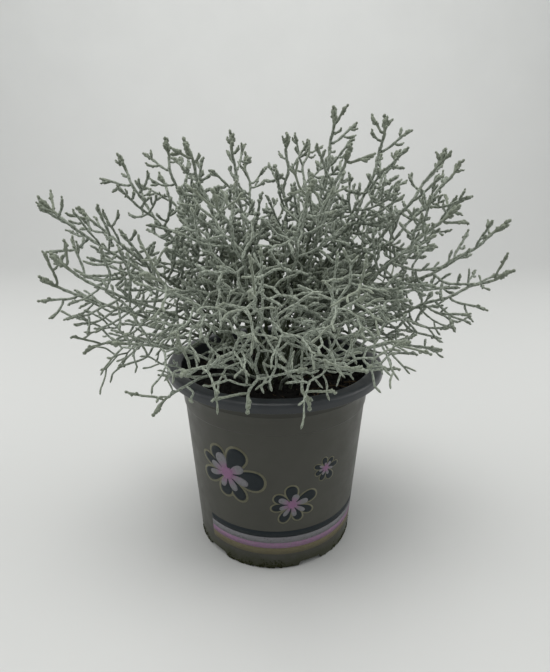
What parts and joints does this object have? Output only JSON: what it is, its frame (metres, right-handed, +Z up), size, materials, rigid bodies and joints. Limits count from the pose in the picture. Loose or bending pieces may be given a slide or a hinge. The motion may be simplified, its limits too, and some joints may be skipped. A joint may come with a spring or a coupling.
{
  "type": "potted cushion bush",
  "caption": "Wiry silver-grey cushion bush of branching leafless-looking stems with bud tips, growing in dark soil in a round tapered plastic nursery pot",
  "frame": {"origin": "on the pot's axis, at the level of the surface that it stands on", "axes": "+Z up, -Y towards the front of the pot with its print, +X to the right seen from the front"},
  "size_m": [0.2127, 0.1833, 0.217],
  "materials": {
    "pot_plastic": "semi-matt dark grey-brown moulded plastic with a satin blue-grey rim, printed with flowers and stripes",
    "peat": "moist, nearly black crumbly peat soil",
    "leafy_stem": "matt silver grey-green, woolly, covered with tiny pressed scale leaves"
  },
  "bodies": {
    "root": {"pot": "pot_plastic", "soil": "peat", "stem_01": "leafy_stem", "stem_02": "leafy_stem", "stem_03": "leafy_stem", "stem_04": "leafy_stem", "stem_05": "leafy_stem", "stem_06": "leafy_stem", "stem_07": "leafy_stem", "stem_08": "leafy_stem", "stem_09": "leafy_stem", "stem_10": "leafy_stem", "stem_11": "leafy_stem", "stem_12": "leafy_stem", "stem_13": "leafy_stem", "stem_14": "leafy_stem", "stem_15": "leafy_stem", "stem_16": "leafy_stem", "stem_17": "leafy_stem", "stem_18": "leafy_stem", "stem_19": "leafy_stem", "stem_20": "leafy_stem", "stem_21": "leafy_stem", "stem_22": "leafy_stem", "stem_23": "leafy_stem", "stem_24": "leafy_stem", "stem_25": "leafy_stem", "stem_26": "leafy_stem", "stem_27": "leafy_stem", "stem_28": "leafy_stem", "stem_29": "leafy_stem", "stem_30": "leafy_stem", "stem_31": "leafy_stem", "stem_32": "leafy_stem", "stem_33": "leafy_stem", "stem_34": "leafy_stem", "stem_35": "leafy_stem", "stem_36": "leafy_stem", "stem_37": "leafy_stem", "stem_38": "leafy_stem", "stem_39": "leafy_stem", "stem_40": "leafy_stem", "stem_41": "leafy_stem", "stem_42": "leafy_stem"}
  },
  "joints": []
}
